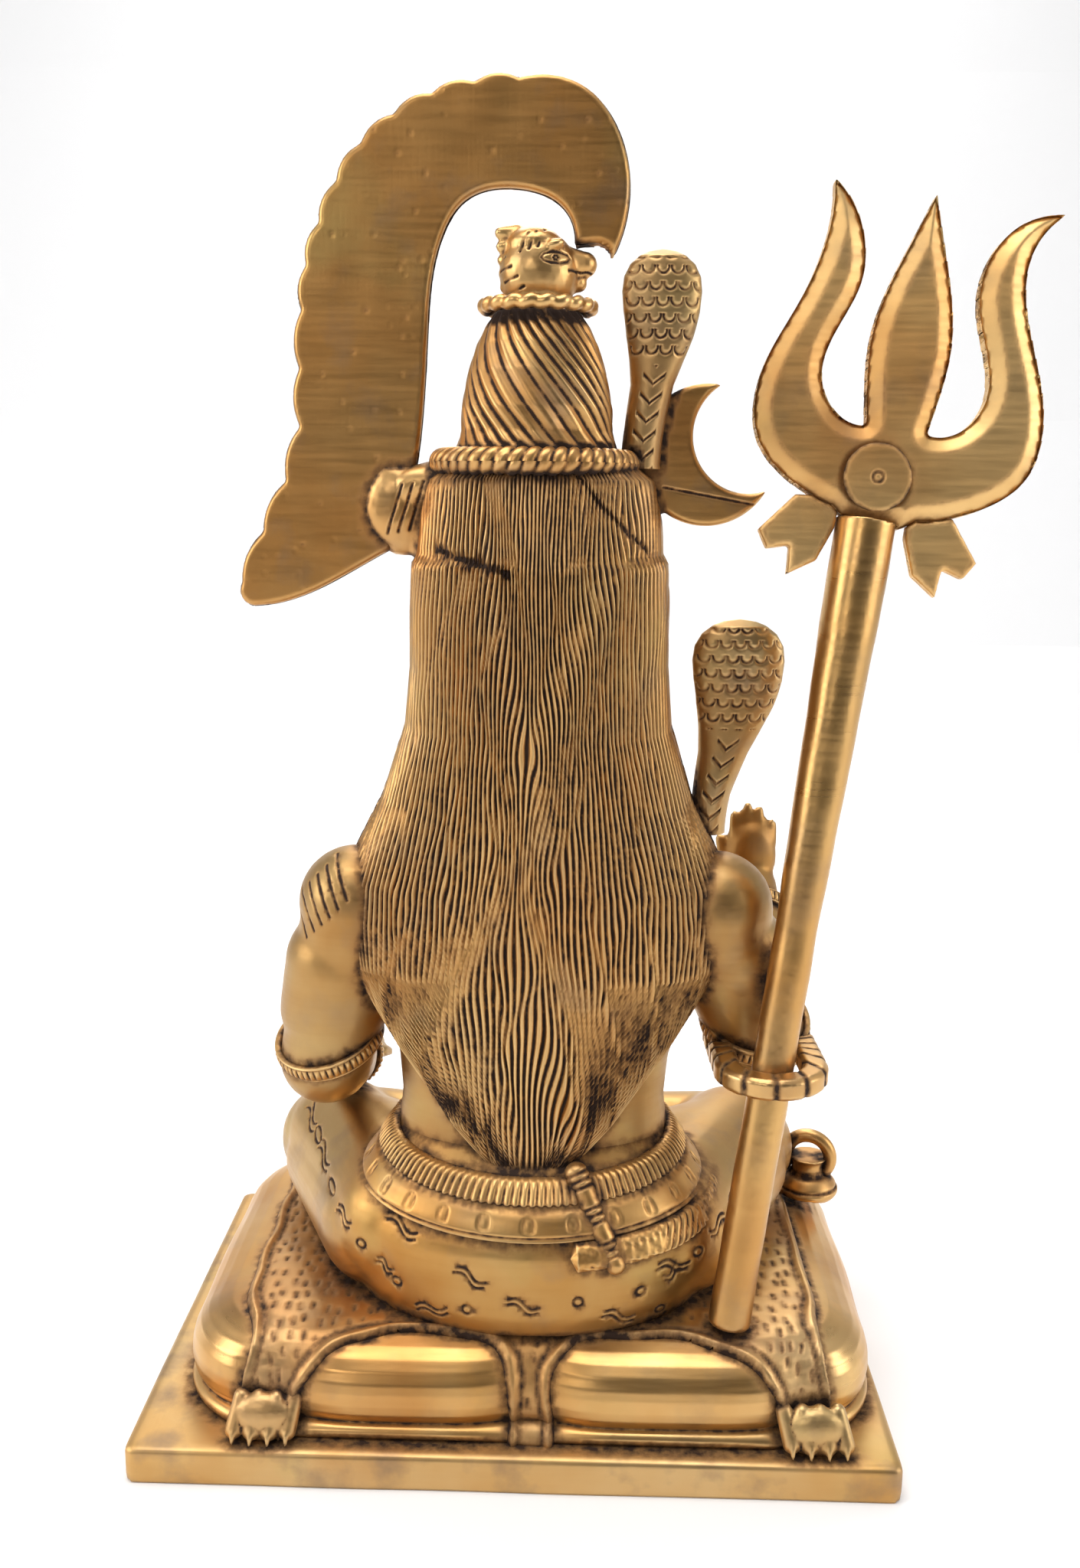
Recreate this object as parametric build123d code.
from build123d import *
import os
from math import asin, atan2, cos, degrees, radians, sin, sqrt, tan

# Seated trident bearer, cast in brass: a plinth, a cushion with an animal skin, the cross-legged
# figure with long hair, a water arch springing from the topknot, two cobras, a crescent and a
# trident that lifts out of a loop at the right elbow.
# Millimetres. +Z up, the figure faces -Y, its right hand is at -X. The origin is the middle of the
# plinth's underside.

# ------------------------------------------------------------------ driving sizes: plinth and seat
PLINTH_W = 178.0
PLINTH_D = 125.0
PLINTH_T = 9.0
PLINTH_CORNER_R = 2.5
PLINTH_EDGE_R = 0.8

SEAT_X = -3.0  # the seat and the figure stand a little to the figure's right of the plinth's middle
SEAT_Y = -1.0
SEAT_SIDE_MARGIN = 5.5  # half the difference in width between the plinth and the cushion
SEAT_END_MARGIN = 4.0
CUSHION_H = 21.5
CUSHION_CORNER_R = 30.0
CUSHION_TOP_R = 8.0
CUSHION_WALL = 4.0

SKIN_T = 1.5
SKIN_SIDE_REACH = 14.0  # bare cushion top left beside the skin
SKIN_END_REACH = 8.5
SKIN_LEG_W = 16.0
SKIN_LEG_INSET = 19.0  # paw centre, in from the cushion's side
SKIN_TAIL_W = 17.0
PAW_W = 17.0
PAW_L = 12.0
PAW_H = 7.5
SKIN_HEAD_W = 26.0
SKIN_HEAD_H = 15.0

# ------------------------------------------------------------------ driving sizes: the figure
HIP_Y = 21.0  # the hips sit towards the back of the seat
HIP_W = 93.0
HIP_D = 62.0
HIP_H = 41.0
WAIST_W = 64.0
WAIST_D = 37.0
CASTING_WALL = 4.5

KNEE_SPREAD = 56.0
KNEE_FORWARD = 43.0
KNEE_R = 15.0
THIGH_R = 18.5
ANKLE_R = 8.5
ANKLE_FORWARD = 62.0
FOOT_L = 26.0
FOOT_R = 6.5

TORSO_H = 55.0  # waist to shoulder line
CHEST_W = 84.0
CHEST_D = 44.0
NECK_R = 12.0
NECK_H = 34.0  # shoulder line to chin

HEAD_W = 45.0
HEAD_D = 46.0
HEAD_H = 62.0
HEAD_Y = 8.0
CROWN_RISE = 6.0  # hair between the skull and the headband
EAR_T = 6.0
EAR_W = 8.0
EAR_H = 15.0
SIDE_HAIR = 8.5  # how far the hair stands out beside the head
MANE_T = 4.5
MANE_TIP_DROP = 9.0  # lowest lock below the waist line

SHOULDER_SPREAD = 43.0
SHOULDER_R = 13.5
ELBOW_R = 11.5
FOREARM_R = 10.4
WRIST_R = 6.8
LEFT_ELBOW_SPREAD = 51.0
LEFT_ELBOW_DROP = 43.0
RIGHT_ELBOW_SPREAD = 55.0
RIGHT_ELBOW_DROP = 36.0
FOREARM_L = 42.0
HAND_L = 22.0
HAND_W = 13.0
HAND_T = 6.0

BAND_R = 2.4  # half thickness of the arm bands
BRACELET_R = 1.8
BELT_CORD_H = 5.0
BELT_CORD_T = 2.6
BELT_BAND_H = 6.5
BELT_BAND_T = 1.8
BELT_DROP = 1.5  # from the waist down to the belt's upper edge
BELT_DIP = 0.2  # the belt's fall for each millimetre towards the back
SASH_H = 6.0
SASH_T = 4.4
SASH_START = 6.0  # from the figure's middle to the roll's inner end
TIE_W = 6.5
TIE_L = 15.0
GARLAND_R = 2.6
EARRING_R = 6.0
EARRING_ROD = 1.7

# ------------------------------------------------------------------ driving sizes: hair ornaments
HEADBAND_R = 21.0
HEADBAND_ROD = 3.2
TOPKNOT_R = 16.5
TOPKNOT_TOP_R = 12.0
TOPKNOT_H = 31.0
CORD_ROD = 1.8
SPOUT_W = 19.0
SPOUT_D = 17.0
SPOUT_H = 22.0

STREAM_T = 5.0
STREAM_Y = 10.0
SCALLOPS = 13
SCALLOP_BULGE = 1.1

CRESCENT_T = 3.6
CRESCENT_Y = 6.0
CRESCENT_R = 16.2
CRESCENT_BITE_R = 13.3
CRESCENT_BITE_SHIFT = 11.0
CRESCENT_TURN = 25.0  # degrees, how far the open side tips up
LUG_W = 20.0
LUG_T = 9.0
LUG_H = 27.0

COBRA_HOOD_W = 18.5
COBRA_HOOD_H = 27.0
COBRA_HOOD_T = 8.0
COBRA_NECK_R = 4.6
SHOULDER_COBRA_W = 22.5
SHOULDER_COBRA_RISE = 52.0  # hood centre above the shoulder line
CROWN_COBRA_RISE = 34.0  # hood centre above the headband
NECK_COIL_ROD = 3.4

# ------------------------------------------------------------------ driving sizes: trident and loop
TRIDENT_SIDE_LEAN = 8.3  # degrees, outwards
TRIDENT_FRONT_LEAN = 8.1  # degrees, forwards
TRIDENT_FOOT_OUT = 47.0
TRIDENT_FOOT_BACK = 23.0
SHAFT_L = 199.0  # foot to hub
SHAFT_R = 5.1
SHAFT_TOP_R = 7.0
SHAFT_TAPER_L = 95.0
TRIDENT_PLATE_T = 6.0
TRIDENT_HEAD_SHIFT = 3.0  # the head is brazed a little off the shaft's line
HUB_R = 11.0
DRUM_R = 7.6
DRUM_WAIST_R = 4.6
DRUM_FRONT = 15.0
DRUM_BACK = 5.0
DRUM_SKIN_T = 1.0
RIBBON_T = 4.0
LOOP_W = 26.5
LOOP_ROD = 6.0
LOOP_T = 5.2
LOOP_CLEARANCE = 0.6  # behind the shaft, where it leans on the loop

# ------------------------------------------------------------------ driving sizes: water pot
POT_R = 8.0
POT_H = 13.0
POT_OUT = 76.0  # from the figure's middle, beside the right knee
POT_FORWARD = 47.0
POT_HANDLE_R = 6.0
POT_HANDLE_ROD = 1.9

# ------------------------------------------------------------------ places worked out from the sizes
cushion_w = PLINTH_W - 2 * SEAT_SIDE_MARGIN
cushion_d = PLINTH_D - 2 * SEAT_END_MARGIN
cushion_top_z = PLINTH_T + CUSHION_H
seat_z = cushion_top_z + SKIN_T
hip_z = seat_z + 0.45 * HIP_H
waist_z = seat_z + HIP_H
shoulder_z = waist_z + TORSO_H
chin_z = shoulder_z + NECK_H
head_z = chin_z + HEAD_H / 2
headband_z = chin_z + HEAD_H + CROWN_RISE
topknot_z = headband_z + 1.5
cord_z = topknot_z + TOPKNOT_H
spout_z = cord_z + 10.0
torso_y = HIP_Y - 4.0
topknot_y = HEAD_Y + 4.0
hip_joint_z = seat_z + THIGH_R - 1.0


def loft_ellipses(sections):
    """A smooth solid through level ellipses, each given as (z, x, y, width, depth)."""
    return loft([Pos(x, y, z) * Ellipse(w / 2, d / 2) for z, x, y, w, d in sections])


def ellipsoid(centre, width, depth, height):
    return Pos(*centre) * scale(Sphere(1), by=(width / 2, depth / 2, height / 2))


def tapered_limb(start, start_r, end, end_r):
    """A round-ended rod from start to end, turned in one piece so that its surfaces meet smoothly."""
    run = Vector(*end) - Vector(*start)
    lean = asin((start_r - end_r) / run.length)
    first = (start_r * cos(lean), start_r * sin(lean))
    last = (end_r * cos(lean), run.length + end_r * sin(lean))
    low_mid = radians(degrees(lean) / 2 - 45)
    high_mid = radians(degrees(lean) / 2 + 45)
    with_start = ThreePointArc((0, -start_r), (start_r * cos(low_mid), start_r * sin(low_mid)), first)
    side = Line(first, last)
    tip = (end_r * cos(high_mid), run.length + end_r * sin(high_mid))
    with_end = ThreePointArc(last, tip, (0, run.length + end_r))
    spine = Line((0, run.length + end_r), (0, -start_r))
    outline = Plane.XZ * make_face([with_start, side, with_end, spine])
    turned = revolve(outline, Axis.Z)
    return Plane(origin=start, z_dir=run.normalized()) * turned


def ring_about(centre, ring_r, rod_r, normal=(0, 0, 1)):
    return Plane(origin=centre, z_dir=normal) * Torus(ring_r, rod_r)


def halfway(start, end, share):
    return tuple(a + (b - a) * share for a, b in zip(start, end))


def seat(piece, *neighbours):
    """The piece with the room of its neighbours cut away, so that they meet face to face."""
    for other in neighbours:
        piece = piece - other
    return piece


def largest(piece):
    """The piece without the crumbs that a cut can leave behind."""
    return max(piece.solids(), key=lambda s: s.volume)


# ------------------------------------------------------------------ plinth
def make_plinth():
    slab = Pos(0, 0, PLINTH_T / 2) * Box(PLINTH_W, PLINTH_D, PLINTH_T)
    slab = fillet(slab.edges().filter_by(Axis.Z), PLINTH_CORNER_R)
    return fillet(slab.faces().sort_by(Axis.Z)[-1].edges(), PLINTH_EDGE_R)


# ------------------------------------------------------------------ cushion
def rounded_block(grow, top_z):
    """The cushion's outer form, grown sideways, from the plinth up to top_z."""
    outline = RectangleRounded(cushion_w + 2 * grow, cushion_d + 2 * grow, CUSHION_CORNER_R + grow)
    block = extrude(Pos(SEAT_X, SEAT_Y, PLINTH_T) * outline, top_z - PLINTH_T)
    return fillet(block.faces().sort_by(Axis.Z)[-1].edges(), CUSHION_TOP_R + grow)


def make_cushion():
    return rounded_block(0, cushion_top_z) - rounded_block(-CUSHION_WALL, cushion_top_z - CUSHION_WALL)


# ------------------------------------------------------------------ animal skin
def paw_place(side, end):
    x = SEAT_X + side * (cushion_w / 2 - SKIN_LEG_INSET)
    y = SEAT_Y + end * cushion_d / 2
    return x, y


def make_skin(cushion):
    """A thin hide over the cushion, with a leg and paw at each corner, a tail behind and a neck in front."""
    spread = Pos(SEAT_X, SEAT_Y) * RectangleRounded(
        cushion_w - 2 * SKIN_SIDE_REACH, cushion_d - 2 * SKIN_END_REACH, CUSHION_CORNER_R / 2
    )
    for side in (-1, 1):
        for end in (-1, 1):
            x, y = paw_place(side, end)
            inner_x = SEAT_X + side * (cushion_w / 2 - 2 * SKIN_LEG_INSET)
            inner_y = SEAT_Y + end * (cushion_d / 2 - SKIN_LEG_INSET)
            turn = degrees(atan2(y - inner_y, x - inner_x))
            reach = sqrt((x - inner_x) ** 2 + (y - inner_y) ** 2) + PAW_L / 2
            leg = Pos(inner_x, inner_y) * Rot(0, 0, turn) * Pos(reach / 2, 0) * Rectangle(reach, SKIN_LEG_W)
            spread = spread + leg
    tail_l = cushion_d / 2 + SKIN_T + 1
    spread = spread + Pos(SEAT_X, SEAT_Y + tail_l / 2) * Rectangle(SKIN_TAIL_W, tail_l)
    spread = spread + Pos(SEAT_X, SEAT_Y - tail_l / 2) * Rectangle(SKIN_HEAD_W, tail_l)
    prism = extrude(Pos(0, 0, PLINTH_T) * spread, seat_z - PLINTH_T + 1)
    hide = (rounded_block(SKIN_T, seat_z) - cushion) & prism
    hide = hide - rounded_block(-CUSHION_WALL, cushion_top_z - CUSHION_WALL)
    for side in (-1, 1):
        for end in (-1, 1):
            x, y = paw_place(side, end)
            paw = ellipsoid((x, y - end * 1.5, PLINTH_T), PAW_W, PAW_L, 2 * PAW_H)
            hide = hide + seat(paw, room_below(PLINTH_T), rounded_block(0, cushion_top_z))
    return hide


def make_skin_head(skin, cushion):
    """The hide's head, hanging over the front of the cushion."""
    y = SEAT_Y - cushion_d / 2 - SKIN_T + 2.0
    face = ellipsoid((SEAT_X, y, PLINTH_T + SKIN_HEAD_H / 2 + 4), SKIN_HEAD_W, 8.0, SKIN_HEAD_H)
    return seat(face, skin, rounded_block(0, cushion_top_z))


# ------------------------------------------------------------------ lower body
def room_below(z):
    """Everything under a level, to trim what stands on it."""
    return Pos(0, 0, z - PLINTH_W / 2) * Box(2 * PLINTH_W, 2 * PLINTH_W, PLINTH_W)


def knee(side):
    return (SEAT_X + side * KNEE_SPREAD, HIP_Y - KNEE_FORWARD, seat_z + KNEE_R)


def ankle(side):
    """Where each shin ends: the right one in front of and above the left."""
    if side > 0:
        return (SEAT_X - 0.5 * KNEE_SPREAD, HIP_Y - ANKLE_FORWARD + 8, seat_z + ANKLE_R)
    return (SEAT_X + 0.2 * KNEE_SPREAD, HIP_Y - ANKLE_FORWARD, seat_z + ANKLE_R + 3)


def hips_form(grow=0.0):
    """The outside of the hips and the wrapped cloth, grown sideways."""
    g = 2 * grow
    return loft_ellipses(
        [
            (seat_z, SEAT_X, HIP_Y, 0.74 * HIP_W + g, 0.76 * HIP_D + g),
            (seat_z + 0.20 * HIP_H, SEAT_X, HIP_Y, 0.95 * HIP_W + g, 0.96 * HIP_D + g),
            (hip_z, SEAT_X, HIP_Y, HIP_W + g, HIP_D + g),
            (seat_z + 0.75 * HIP_H, SEAT_X, HIP_Y - 1, 0.84 * HIP_W + g, 0.82 * HIP_D + g),
            (waist_z, SEAT_X, HIP_Y - 2, WAIST_W + 6 + g, WAIST_D + 8 + g),
        ]
    )


def make_legs_and_hips():
    body = hips_form()
    for side in (-1, 1):
        hip_joint = (SEAT_X + side * 0.24 * HIP_W, HIP_Y - 6, hip_joint_z)
        body = body + tapered_limb(hip_joint, THIGH_R, knee(side), KNEE_R)
    for side in (-1, 1):
        below_knee = (knee(side)[0], knee(side)[1], knee(side)[2] - 1)
        body = body + tapered_limb(below_knee, KNEE_R - 1.5, ankle(side), ANKLE_R)
    return body - room_below(seat_z)


def hips_room():
    """The casting's hollow, from the seat to the waist."""
    wall = 2 * CASTING_WALL
    return loft_ellipses(
        [
            (seat_z, SEAT_X, HIP_Y, 0.74 * HIP_W - wall, 0.76 * HIP_D - wall),
            (hip_z, SEAT_X, HIP_Y, HIP_W - wall, HIP_D - wall),
            (waist_z, SEAT_X, HIP_Y - 2, WAIST_W - wall, WAIST_D - wall),
        ]
    )


def make_left_foot(lower_body):
    """Tucked under the right shin, with its toes in front."""
    x = ankle(1)[0]
    y = ankle(-1)[1] - ANKLE_R
    heel = (x - 4, y + 5, seat_z + FOOT_R)
    toes = (x - FOOT_L, y + 5, seat_z + FOOT_R)
    foot = tapered_limb(heel, FOOT_R + 0.5, toes, FOOT_R - 0.5)
    return largest(seat(foot, lower_body, room_below(seat_z)))


def make_right_foot(lower_body):
    """Crossed in front, sole up, with the toes towards the left knee."""
    x, y, z = ankle(-1)
    heel = (x + 0.3 * FOOT_L, y - 1, z + 1)
    toes = (x + FOOT_L, y + 5, z + 2)
    return largest(seat(tapered_limb(heel, FOOT_R + 1, toes, FOOT_R - 1.5), lower_body))


def belt_plane(drop):
    """A level of the belt, drop below its upper edge. It dips towards the back."""
    lean = Vector(0, BELT_DIP, 1).normalized()
    top = Vector(SEAT_X, HIP_Y - 2, waist_z - BELT_DROP)
    return Plane(origin=top - lean * drop, z_dir=lean)


def make_belt_ring(top_drop, height, thickness, legs_and_hips):
    slab = extrude(belt_plane(top_drop + height) * Rectangle(3 * HIP_W, 3 * HIP_W), height)
    return largest((hips_form(thickness) & slab) - legs_and_hips)


def sash_point(turn, drop):
    """A place on the hips below the belt. turn is in degrees, from the figure's back to its right side."""
    x = SEAT_X - (HIP_W / 2 - 3) * sin(radians(turn))
    y = HIP_Y - 2 + (HIP_D / 2 + 1) * cos(radians(turn))
    top = waist_z - BELT_DROP - BELT_DIP * (y - HIP_Y + 2)
    return (x, y, top - drop)


def make_sash(legs_and_hips, rings):
    """A cloth roll under the right half of the belt."""
    under_belt = belt_plane(BELT_CORD_H + BELT_BAND_H + SASH_H)
    slab = extrude(under_belt * Rectangle(3 * HIP_W, 3 * HIP_W), SASH_H)
    right_half = Pos(SEAT_X - SASH_START - HIP_W, HIP_Y, waist_z) * Box(2 * HIP_W, 3 * HIP_D, 4 * HIP_H)
    return largest(seat(hips_form(SASH_T) & slab & right_half, legs_and_hips, *rings))


def make_tie(legs_and_hips, rings, mane, sash):
    """The belt's hanging end, at the back."""
    top = sash_point(10, 2.0)
    bottom = sash_point(19, TIE_L)
    strap = tapered_limb(top, TIE_W / 2, bottom, TIE_W / 2 - 0.4)
    return largest(seat(strap, legs_and_hips, *rings, mane, sash))


# ------------------------------------------------------------------ torso and head
def trunk_form():
    return loft_ellipses(
        [
            (waist_z, SEAT_X, HIP_Y - 2, WAIST_W, WAIST_D),
            (waist_z + 0.30 * TORSO_H, SEAT_X, torso_y, WAIST_W + 2, WAIST_D + 1),
            (waist_z + 0.70 * TORSO_H, SEAT_X, torso_y - 1, 0.96 * CHEST_W, CHEST_D),
            (shoulder_z, SEAT_X, torso_y - 1, CHEST_W, CHEST_D - 3),
            (shoulder_z + 0.40 * NECK_H, SEAT_X, torso_y - 2, 0.72 * CHEST_W, 0.74 * CHEST_D),
            (shoulder_z + 0.68 * NECK_H, SEAT_X, torso_y - 4, 2.3 * NECK_R, 2.3 * NECK_R),
        ]
    )


def trunk_room():
    wall = 2 * CASTING_WALL
    return loft_ellipses(
        [
            (waist_z, SEAT_X, HIP_Y - 2, WAIST_W - wall, WAIST_D - wall),
            (waist_z + 0.35 * TORSO_H, SEAT_X, torso_y, WAIST_W - wall, WAIST_D - wall),
            (shoulder_z - 4, SEAT_X, torso_y - 1, CHEST_W - 3 * wall, CHEST_D - 2 * wall),
        ]
    )


def ear_form(side):
    return ellipsoid((SEAT_X + side * (HEAD_W / 2 - 0.5), HEAD_Y + 1, head_z - 3), EAR_T, EAR_W, EAR_H)


def neck_form():
    length = NECK_H + 0.3 * HEAD_H
    return Pos(SEAT_X, HEAD_Y + 3, shoulder_z + length / 2) * Cylinder(NECK_R, length)


def skull_form():
    return ellipsoid((SEAT_X, HEAD_Y, head_z), HEAD_W, HEAD_D, HEAD_H)


def make_head(torso):
    return seat(skull_form() + ear_form(-1) + ear_form(1) + neck_form(), torso)


# ------------------------------------------------------------------ arms and their ornaments
def shoulder(side):
    return (SEAT_X + side * SHOULDER_SPREAD, torso_y, shoulder_z - 3)


def elbow(side):
    if side > 0:
        return (SEAT_X + LEFT_ELBOW_SPREAD, torso_y - 3, shoulder_z - LEFT_ELBOW_DROP)
    return (SEAT_X - RIGHT_ELBOW_SPREAD, torso_y - 5, shoulder_z - RIGHT_ELBOW_DROP)


def wrist(side):
    """The left forearm comes forward to the knee, the right one is raised in blessing."""
    x, y, z = elbow(side)
    if side > 0:
        knee_top = knee(1)[2] + KNEE_R
        drop = z - (knee_top + WRIST_R + 1.5)
        return (x, y - sqrt(max(FOREARM_L**2 - drop**2, 1)), z - drop)
    rise = 0.72 * FOREARM_L
    return (x - 1, y - sqrt(FOREARM_L**2 - rise**2), z + rise)


def hand(side):
    x, y, z = wrist(side)
    if side > 0:
        palm = ellipsoid((x, y - 0.42 * HAND_L, z - 2), HAND_W, HAND_L, HAND_T + 1)
    else:
        palm = ellipsoid((x, y - 2, z + 0.46 * HAND_L), HAND_W, HAND_T + 1, HAND_L)
    return palm


def make_arm(side, torso, lower_body):
    upper = tapered_limb(shoulder(side), SHOULDER_R, elbow(side), ELBOW_R)
    fore = tapered_limb(halfway(elbow(side), wrist(side), 0.03), FOREARM_R, wrist(side), WRIST_R)
    return largest(seat(upper + fore + hand(side), torso, lower_body))


def make_arm_band(side, arm):
    centre = halfway(elbow(side), shoulder(side), 0.12)
    run = Vector(*shoulder(side)) - Vector(*elbow(side))
    tilt = Vector(side * 0.45, 0.35, 0)
    return seat(ring_about(centre, ELBOW_R + 0.5 * BAND_R, BAND_R, run.normalized() + tilt), arm)


def make_bracelet(side, arm):
    centre = halfway(elbow(side), wrist(side), 0.86)
    run = Vector(*wrist(side)) - Vector(*elbow(side))
    cuff = fillet(Cylinder(WRIST_R + 2 * BRACELET_R, 2 * BRACELET_R).edges(), 0.6 * BRACELET_R)
    return seat(Plane(origin=centre, z_dir=run.normalized()) * cuff, arm)


def make_garland(torso, head):
    """A bead string that lies on the chest."""
    tilted = Plane(origin=(SEAT_X, torso_y - 6, shoulder_z + 2), z_dir=Vector(0, -0.75, 1).normalized())
    string = tilted * Torus(NECK_R + 13, GARLAND_R)
    front_only = Pos(SEAT_X, torso_y - 54, shoulder_z) * Box(2 * CHEST_W, 100, 4 * NECK_H)
    return largest(seat(string & front_only, torso, head))


def make_earring(side, head):
    centre = (SEAT_X + side * (HEAD_W / 2 + 4.5), HEAD_Y - 2, head_z - 3 - 7.5 - EARRING_R)
    return largest(seat(ring_about(centre, EARRING_R, EARRING_ROD, (1, 0.3 * side, 0)), head))


# ------------------------------------------------------------------ hair
def make_mane(torso, lower_body):
    """Hair combed over the head and down the back to a point above the belt."""
    tip_z = waist_z - MANE_TIP_DROP
    back_y = torso_y + CHEST_D / 2 + MANE_T - 2
    half_d = 19.0
    y = back_y - half_d
    deep = 2 * half_d
    crown_w = HEAD_W + 2 * SIDE_HAIR
    fall = loft_ellipses(
        [
            (tip_z, SEAT_X - 2, y + 3, 6.0, deep - 2),
            (waist_z + 0.10 * TORSO_H, SEAT_X - 2, y + 1, 34.0, deep),
            (waist_z + 0.42 * TORSO_H, SEAT_X - 3, y, 64.0, deep),
            (waist_z + 0.72 * TORSO_H, SEAT_X - 3, y, 90.0, deep),
            (shoulder_z + 0.14 * NECK_H, SEAT_X - 3, y, CHEST_W + 10.0, deep),
            (shoulder_z + 0.70 * NECK_H, SEAT_X - 2, y - 1, crown_w + 13, deep),
            (chin_z + 0.12 * HEAD_H, SEAT_X - 1, y - 3, crown_w + 2, deep),
            (chin_z + 0.55 * HEAD_H, SEAT_X, y - 6, crown_w, deep + 4),
            (headband_z - 4, SEAT_X + 1, topknot_y + 2, crown_w - 6, deep + 12),
            (headband_z, SEAT_X + 1, topknot_y, 2 * HEADBAND_R, 2 * HEADBAND_R),
        ]
    )
    front_room = Pos(SEAT_X, torso_y + 3 - CHEST_W, (tip_z + chin_z) / 2) * Box(
        3 * CHEST_W, 2 * CHEST_W, chin_z - tip_z + 2
    )
    face_top = chin_z + 0.80 * HEAD_H
    face_room = Pos(SEAT_X, HEAD_Y - 2 - CHEST_W, (chin_z + face_top) / 2) * Box(
        3 * CHEST_W, 2 * CHEST_W, face_top - chin_z
    )
    hair = seat(fall, front_room, face_room, torso, lower_body)
    return largest(seat(hair, neck_form(), skull_form(), ear_form(-1), ear_form(1)))


def make_headband(mane, head):
    centre = (SEAT_X + 1.5, topknot_y, headband_z)
    return seat(ring_about(centre, HEADBAND_R, HEADBAND_ROD), mane, head)


def make_topknot(headband):
    x = SEAT_X + 1.0
    knot = loft_ellipses(
        [
            (headband_z - 1, x, topknot_y, 2 * TOPKNOT_R + 4, 2 * TOPKNOT_R + 4),
            (topknot_z + 0.18 * TOPKNOT_H, x, topknot_y, 2 * TOPKNOT_R, 2 * TOPKNOT_R),
            (topknot_z + 0.60 * TOPKNOT_H, x, topknot_y, 2 * TOPKNOT_R - 2, 2 * TOPKNOT_R - 2),
            (cord_z, x, topknot_y, 2 * TOPKNOT_TOP_R, 2 * TOPKNOT_TOP_R),
        ]
    )
    return seat(knot, headband)


def make_topknot_cord():
    return Pos(SEAT_X + 1.0, topknot_y, cord_z + CORD_ROD) * Torus(TOPKNOT_TOP_R, CORD_ROD)


def make_spout_head(topknot, cord):
    """A small head on the topknot, its mouth to the figure's right, where the water leaves."""
    x = SEAT_X + 1.0
    neck = Pos(x, topknot_y, cord_z + 3) * Cylinder(TOPKNOT_TOP_R - 1.5, 6)
    skull = ellipsoid((x, topknot_y, spout_z), SPOUT_W, SPOUT_D, SPOUT_H)
    snout = tapered_limb((x - 4, topknot_y - 1, spout_z - 1), 6.0, (x - 13, STREAM_Y, spout_z + 2), 4.0)
    return seat(neck + skull + snout, topknot, cord)


# ------------------------------------------------------------------ water arch
def stream_outline():
    """The arch's face, seen from the front: x from the figure's middle, y from the spout's mouth."""
    outer_tail = Spline((70.2, -70.7), (61.3, -51.6), (55.9, -36.0), (55.6, -25.0), (54.9, -9.0))
    outer_arch = Spline(
        (54.9, -9.0), (51.2, 8.0), (43.0, 24.0), (24.3, 37.3), (2.0, 40.6), (-13.8, 34.2),
        tangents=((0, 1), (-0.6, -0.9)),
    )  # fmt: skip
    nodes = [outer_tail @ (i / 5) for i in range(5)]
    nodes += [outer_arch @ (0.78 * i / (SCALLOPS - 5)) for i in range(SCALLOPS - 4)]
    edges = []
    for a, b in zip(nodes, nodes[1:]):
        run = b - a
        crest = (a + b) / 2 + Vector(run.Y, -run.X).normalized() * (SCALLOP_BULGE + 0.035 * run.length)
        edges.append(ThreePointArc(a, crest, b))
    last = nodes[-1]
    shoulder_bend = Spline(last, (-13.0, 35.0), (-19.2, 20.0), (-16.7, 4.6), (-12.0, -3.0))
    mouth = Line((-12.0, -3.0), (-7.0, 5.0))
    inner = Spline(
        (-7.0, 5.0), (-3.5, 14.0), (4.0, 17.0), (17.5, 14.6), (23.0, 6.0), (26.0, -14.0),
        (27.2, -32.0), (34.8, -62.6),
    )  # fmt: skip
    underside = Spline((34.8, -62.6), (47.0, -69.5), (58.0, -74.5), (67.5, -76.2))
    toe = ThreePointArc((67.5, -76.2), (70.4, -74.2), (70.2, -70.7))
    return make_face(edges + [shoulder_bend, mouth, inner, underside, toe])


def make_lug(stream, mane, headband):
    """The cast lug that ties the arch's tail to the side of the hair."""
    lug = ellipsoid((SEAT_X + HEAD_W / 2 + 10.5, STREAM_Y, headband_z - 15), LUG_W, LUG_T, LUG_H)
    return largest(seat(lug, mane, stream, headband))


def make_stream(spout_head, topknot, head):
    face = Plane(origin=(SEAT_X, STREAM_Y, spout_z), x_dir=(1, 0, 0), z_dir=(0, -1, 0)) * stream_outline()
    plate = extrude(face, STREAM_T / 2, both=True)
    return largest(seat(plate, spout_head, topknot, head))


# ------------------------------------------------------------------ crescent and cobras
def make_crescent():
    """A flat crescent whose back runs into the hair, with its open side outwards."""
    centre = (SEAT_X - HEAD_W / 2 - SIDE_HAIR - 7.5, CRESCENT_Y, headband_z + 2.3)
    turned = Plane(origin=centre, x_dir=(-cos(radians(CRESCENT_TURN)), 0, sin(radians(CRESCENT_TURN))),
                   z_dir=(0, 1, 0))  # fmt: skip
    disc = Circle(CRESCENT_R)
    bite = Pos(CRESCENT_BITE_SHIFT, 0) * Circle(CRESCENT_BITE_R)
    root = Pos(-CRESCENT_R + 3, 0) * Rectangle(12, 16)
    return extrude(turned * ((disc + root) - bite), CRESCENT_T / 2, both=True)


def cobra_hood(centre, width, height):
    return ellipsoid(centre, width, COBRA_HOOD_T, height)


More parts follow.
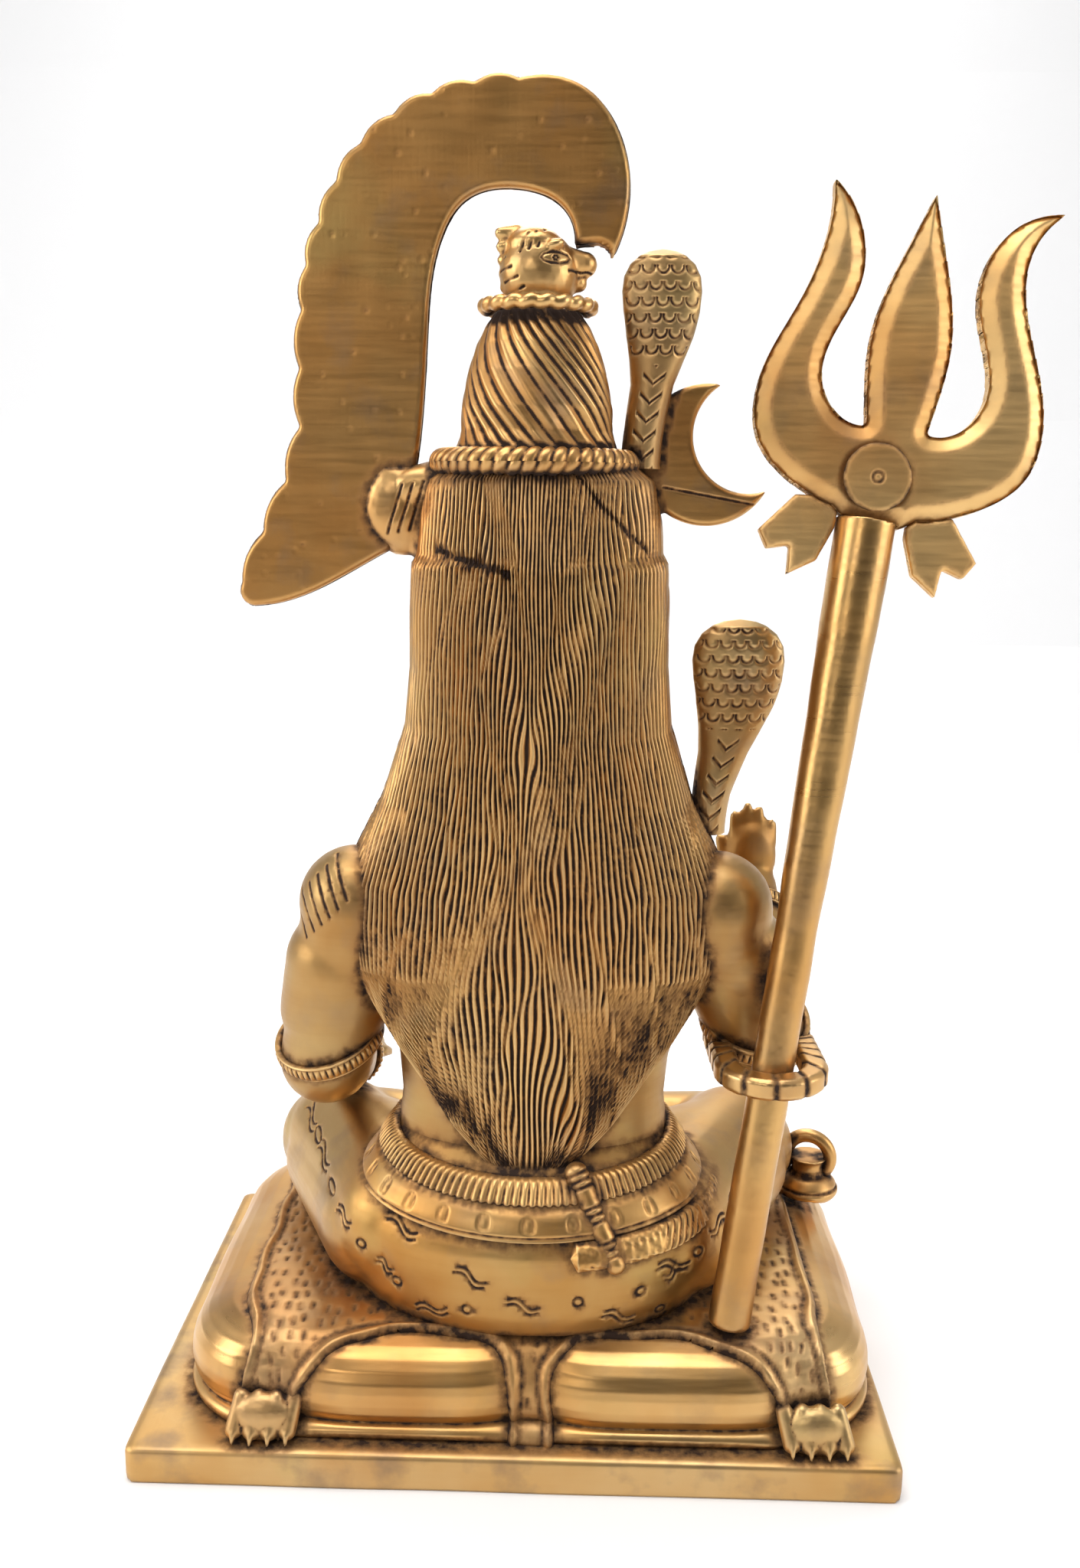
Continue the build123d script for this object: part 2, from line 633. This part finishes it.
def make_crown_cobra(headband, topknot, stream):
    foot = (SEAT_X - HEADBAND_R - 2.0, topknot_y - 3, headband_z)
    hood = (SEAT_X - 27.0, topknot_y - 3, headband_z + CROWN_COBRA_RISE)
    neck = tapered_limb(foot, COBRA_NECK_R + 0.8, hood, COBRA_NECK_R - 0.6)
    snake = neck + cobra_hood(hood, COBRA_HOOD_W, COBRA_HOOD_H)
    return largest(seat(snake, headband, topknot, stream))


def make_shoulder_cobra(mane, torso, arm, head):
    foot = (SEAT_X - 0.5 * CHEST_W + 1, torso_y - 8, shoulder_z + 16)
    hood = (SEAT_X - 0.5 * CHEST_W - 5.5, torso_y - 9, shoulder_z + SHOULDER_COBRA_RISE)
    throat = (hood[0] + 1.5, hood[1], hood[2] - 19)
    snake = tapered_limb(foot, COBRA_NECK_R + 0.6, throat, COBRA_NECK_R - 0.8)
    snake = snake + tapered_limb(throat, COBRA_NECK_R - 0.9, hood, COBRA_NECK_R - 1.2)
    snake = snake + cobra_hood(hood, SHOULDER_COBRA_W, COBRA_HOOD_H + 2)
    return largest(seat(snake, mane, torso, arm, head))


def make_neck_coil(torso, head):
    """The shoulder cobra's body, round the neck in front."""
    middle = (SEAT_X, HEAD_Y + 4, shoulder_z + 0.62 * NECK_H)
    coil = ring_about(middle, NECK_R + 5, NECK_COIL_ROD, Vector(0.12, -0.35, 1).normalized())
    front_half = Pos(SEAT_X, HEAD_Y + 2 - NECK_H, middle[2]) * Box(4 * NECK_H, 2 * NECK_H, 2 * NECK_H)
    return largest(seat(coil & front_half, torso, head))


# ------------------------------------------------------------------ trident
shaft_dir = Vector(-tan(radians(TRIDENT_SIDE_LEAN)), -tan(radians(TRIDENT_FRONT_LEAN)), 1).normalized()
foot_point = Vector(SEAT_X - TRIDENT_FOOT_OUT, HIP_Y + TRIDENT_FOOT_BACK, seat_z)
across = Vector(1, 0, -shaft_dir.X / shaft_dir.Z).normalized()
hub_point = foot_point + shaft_dir * SHAFT_L
# In the trident's own plane x runs to the figure's left, y up the shaft and z to the front.
hub_plane = Plane(origin=hub_point, x_dir=across, z_dir=across.cross(shaft_dir))
foot_plane = Plane(origin=foot_point, x_dir=across, z_dir=shaft_dir)


def make_shaft():
    """A turned rod, round at the foot and thicker towards the hub."""
    end_l = SHAFT_L - HUB_R + 2
    outline = make_face(
        [
            Line((0, 0), (SHAFT_R - 1.5, 0)),
            ThreePointArc((SHAFT_R - 1.5, 0), (SHAFT_R - 0.45, 0.45), (SHAFT_R, 1.5)),
            Line((SHAFT_R, 1.5), (SHAFT_R, end_l - SHAFT_TAPER_L)),
            Line((SHAFT_R, end_l - SHAFT_TAPER_L), (SHAFT_TOP_R, end_l - 14)),
            Line((SHAFT_TOP_R, end_l - 14), (SHAFT_TOP_R, end_l)),
            Line((SHAFT_TOP_R, end_l), (0, end_l)),
            Line((0, end_l), (0, 0)),
        ]
    )
    # The foot is cut level, so the rod starts below the seat and is trimmed by it.
    rod = foot_plane * revolve(Plane.XZ * outline, Axis.Z)
    return rod - room_below(seat_z)


def outer_prong(side, tip_out):
    """One side prong, an S-shaped blade that flares at its tip."""
    s = side
    outer = Spline(
        (s * 8, -8), (s * 20, -4), (s * 30.5, 5), (s * 32, 20), (s * 26, 37), (s * 23, 48), (s * tip_out, 64)
    )
    inner = Spline(
        (s * tip_out, 64), (s * 15, 54), (s * 13.3, 43), (s * 17.5, 30), (s * 18.5, 20), (s * 13, 12.5), (s * 5, 12)
    )
    root = Line((s * 5, 12), (s * 8, -8))
    return make_face([outer, inner, root])


def make_trident_head(drum, shaft):
    """Three prongs cut from plate and brazed round the hub."""
    leaf = make_face(
        [
            Spline((-6, 6), (-7.6, 16), (-9, 31), (-4, 52), (0, 64)),
            Spline((0, 64), (4, 52), (9, 31), (7.6, 16), (6, 6)),
            Line((6, 6), (-6, 6)),
        ]
    )
    shape = Circle(HUB_R) + leaf + outer_prong(1, 23.0) + outer_prong(-1, 29.0)
    shifted = hub_plane * (Pos(-TRIDENT_HEAD_SHIFT, 0) * shape)
    plate = extrude(shifted, TRIDENT_PLATE_T / 2, both=True)
    hub = extrude(hub_plane * Circle(HUB_R), TRIDENT_PLATE_T / 2, both=True)
    return largest(seat(plate + hub, drum, shaft))


def make_drum():
    """An hourglass drum standing through the hub, small end ring behind and the larger half in front."""
    body_front = DRUM_FRONT - DRUM_SKIN_T
    body_back = DRUM_BACK - DRUM_SKIN_T
    half_plate = TRIDENT_PLATE_T / 2
    outline = make_face(
        [
            Line((0, -body_back), (DRUM_R, -body_back)),
            Line((DRUM_R, -body_back), (DRUM_WAIST_R, -half_plate + 0.8)),
            Line((DRUM_WAIST_R, -half_plate + 0.8), (DRUM_WAIST_R, half_plate)),
            Line((DRUM_WAIST_R, half_plate), (DRUM_R, body_front)),
            Line((DRUM_R, body_front), (0, body_front)),
            Line((0, body_front), (0, -body_back)),
        ]
    )
    return hub_plane * revolve(Plane.XZ * outline, Axis.Z)


def make_drum_skin(front):
    start = DRUM_FRONT - DRUM_SKIN_T if front else -DRUM_BACK
    disc = Pos(0, 0, start + DRUM_SKIN_T / 2) * Cylinder(DRUM_R + 0.4, DRUM_SKIN_T)
    return hub_plane * fillet(disc.edges(), 0.3)


def make_ribbon(side, head, shaft):
    """A swallow-tailed ribbon end of the drum's cord."""
    s = side
    x0 = s * 8.0
    outline = Polyline(
        (x0, -5), (s * 18, -6), (s * 25, -15), (s * 22.5, -19), (s * 17.5, -17.5), (s * 17, -24),
        (s * 11, -20), (x0, -12), (x0, -5),
    )  # fmt: skip
    face = hub_plane * (Pos(-1.0, 0) * make_face(outline))
    return largest(seat(extrude(face, RIBBON_T / 2, both=True), head, shaft))


def make_pot(lower_body):
    """A small water pot on the seat beside the right knee."""
    x, y = SEAT_X - POT_OUT, HIP_Y - POT_FORWARD
    base = cushion_top_z - 1.0
    jar = loft_ellipses(
        [
            (base, x, y, 1.2 * POT_R, 1.2 * POT_R),
            (base + 0.40 * POT_H, x, y, 2 * POT_R, 2 * POT_R),
            (base + 0.80 * POT_H, x, y, 1.1 * POT_R, 1.1 * POT_R),
            (base + POT_H, x, y, 1.4 * POT_R, 1.4 * POT_R),
        ]
    )
    return largest(seat(jar, rounded_block(SKIN_T, seat_z), lower_body))


def make_pot_handle(pot, lower_body):
    x, y = SEAT_X - POT_OUT, HIP_Y - POT_FORWARD
    ring = ring_about((x, y, cushion_top_z + 0.9 * POT_H), POT_HANDLE_R, POT_HANDLE_ROD, (0.3, 1, 0))
    return largest(seat(ring, pot, lower_body))


def make_loop(arm, band):
    """A flat loop from the right elbow that the trident's shaft stands in."""
    elbow_at = Vector(*elbow(-1))
    rise = (elbow_at.Z - foot_point.Z) / shaft_dir.Z
    on_shaft = foot_point + shaft_dir * rise
    inner_r = LOOP_W / 2 - LOOP_ROD
    forward = Vector(elbow_at.X - on_shaft.X, elbow_at.Y - on_shaft.Y, 0)
    ahead = forward.normalized()
    # The hole's rear end leaves LOOP_CLEARANCE behind the shaft.
    rear = on_shaft + ahead * (inner_r - SHAFT_R - LOOP_CLEARANCE)
    span = (elbow_at - rear).length
    level = Plane(origin=(rear + elbow_at) / 2, x_dir=ahead, z_dir=(0, 0, 1))
    outline = SlotCenterToCenter(span, LOOP_W) - SlotCenterToCenter(span, 2 * inner_r)
    flat = extrude(level * outline, LOOP_T / 2, both=True)
    flat = chamfer(flat.edges().filter_by(GeomType.CIRCLE), 1.0)
    return largest(seat(flat, arm, band))


# ------------------------------------------------------------------ build and write
def build_seat(parts):
    parts["plinth"] = make_plinth()
    cushion = make_cushion()
    parts["seat_cushion"] = cushion
    parts["animal_skin"] = make_skin(cushion)
    parts["skin_head"] = make_skin_head(parts["animal_skin"], cushion)


def build_figure(parts):
    legs_and_hips = make_legs_and_hips()
    lower_body = legs_and_hips - hips_room()
    torso = trunk_form() - trunk_room()
    head = make_head(torso)
    arms = {side: make_arm(side, torso, lower_body) for side in (-1, 1)}
    mane = make_mane(trunk_form(), legs_and_hips)
    mane = largest(seat(mane, arms[-1], arms[1]))
    left_foot = make_left_foot(lower_body)
    cord_ring = make_belt_ring(0, BELT_CORD_H, BELT_CORD_T, legs_and_hips)
    band_ring = make_belt_ring(BELT_CORD_H, BELT_BAND_H, BELT_BAND_T, legs_and_hips)
    rings = [largest(seat(ring, trunk_form(), mane, arms[-1], arms[1])) for ring in (cord_ring, band_ring)]
    sash = make_sash(legs_and_hips, rings)
    parts["lower_body"] = lower_body
    parts["left_foot"] = left_foot
    parts["right_foot"] = make_right_foot(lower_body)
    parts["belt_cord"], parts["belt_band"] = rings
    parts["sash"] = sash
    parts["belt_tie"] = make_tie(legs_and_hips, rings, mane, sash)
    parts["torso"] = torso
    parts["head"] = head
    parts["hair_mane"] = mane
    parts["garland"] = make_garland(torso, head)
    parts["neck_coil"] = make_neck_coil(torso, head)
    for side, name in ((1, "left"), (-1, "right")):
        parts[name + "_arm"] = arms[side]
        parts[name + "_arm_band"] = make_arm_band(side, arms[side])
        parts[name + "_bracelet"] = make_bracelet(side, arms[side]) - lower_body
        parts[name + "_earring"] = make_earring(side, head) - mane
    parts["water_pot"] = make_pot(lower_body)
    parts["pot_handle"] = make_pot_handle(parts["water_pot"], lower_body)


def build_hair_ornaments(parts):
    head = parts["head"]
    headband = make_headband(parts["hair_mane"], head)
    topknot = make_topknot(headband) - parts["hair_mane"]
    cord = make_topknot_cord()
    spout_head = make_spout_head(topknot, cord)
    stream = make_stream(spout_head, topknot, head)
    crescent = make_crescent() - head
    mane = largest(seat(parts["hair_mane"], stream, crescent))
    headband = seat(headband, stream, crescent)
    shoulder_cobra = make_shoulder_cobra(mane, parts["torso"], parts["right_arm"], head)
    parts["hair_mane"] = mane
    parts["headband"] = headband
    parts["topknot"] = topknot
    parts["topknot_cord"] = cord
    parts["spout_head"] = spout_head
    parts["water_stream"] = stream
    parts["stream_lug"] = make_lug(stream, mane, headband)
    parts["crescent_moon"] = crescent
    parts["crown_cobra"] = make_crown_cobra(headband, topknot, stream) - mane - crescent
    parts["shoulder_cobra"] = shoulder_cobra


def build_trident(parts):
    drum = make_drum()
    shaft = make_shaft() - drum
    trident_head = make_trident_head(drum, shaft)
    parts["trident_loop"] = make_loop(parts["right_arm"], parts["right_arm_band"]) - parts["hair_mane"]
    parts["trident_shaft"] = shaft
    parts["trident_head"] = trident_head
    parts["drum_shell"] = drum
    parts["drum_skin_front"] = make_drum_skin(True)
    parts["drum_skin_back"] = make_drum_skin(False)
    for side, name in ((1, "left"), (-1, "right")):
        parts["ribbon_" + name] = make_ribbon(side, trident_head, shaft)


def build():
    parts = {}
    build_seat(parts)
    build_figure(parts)
    build_hair_ornaments(parts)
    build_trident(parts)
    return parts


os.makedirs("parts", exist_ok=True)
for node, shape in build().items():
    export_step(Compound(shape.solids()), "parts/" + node + ".step")
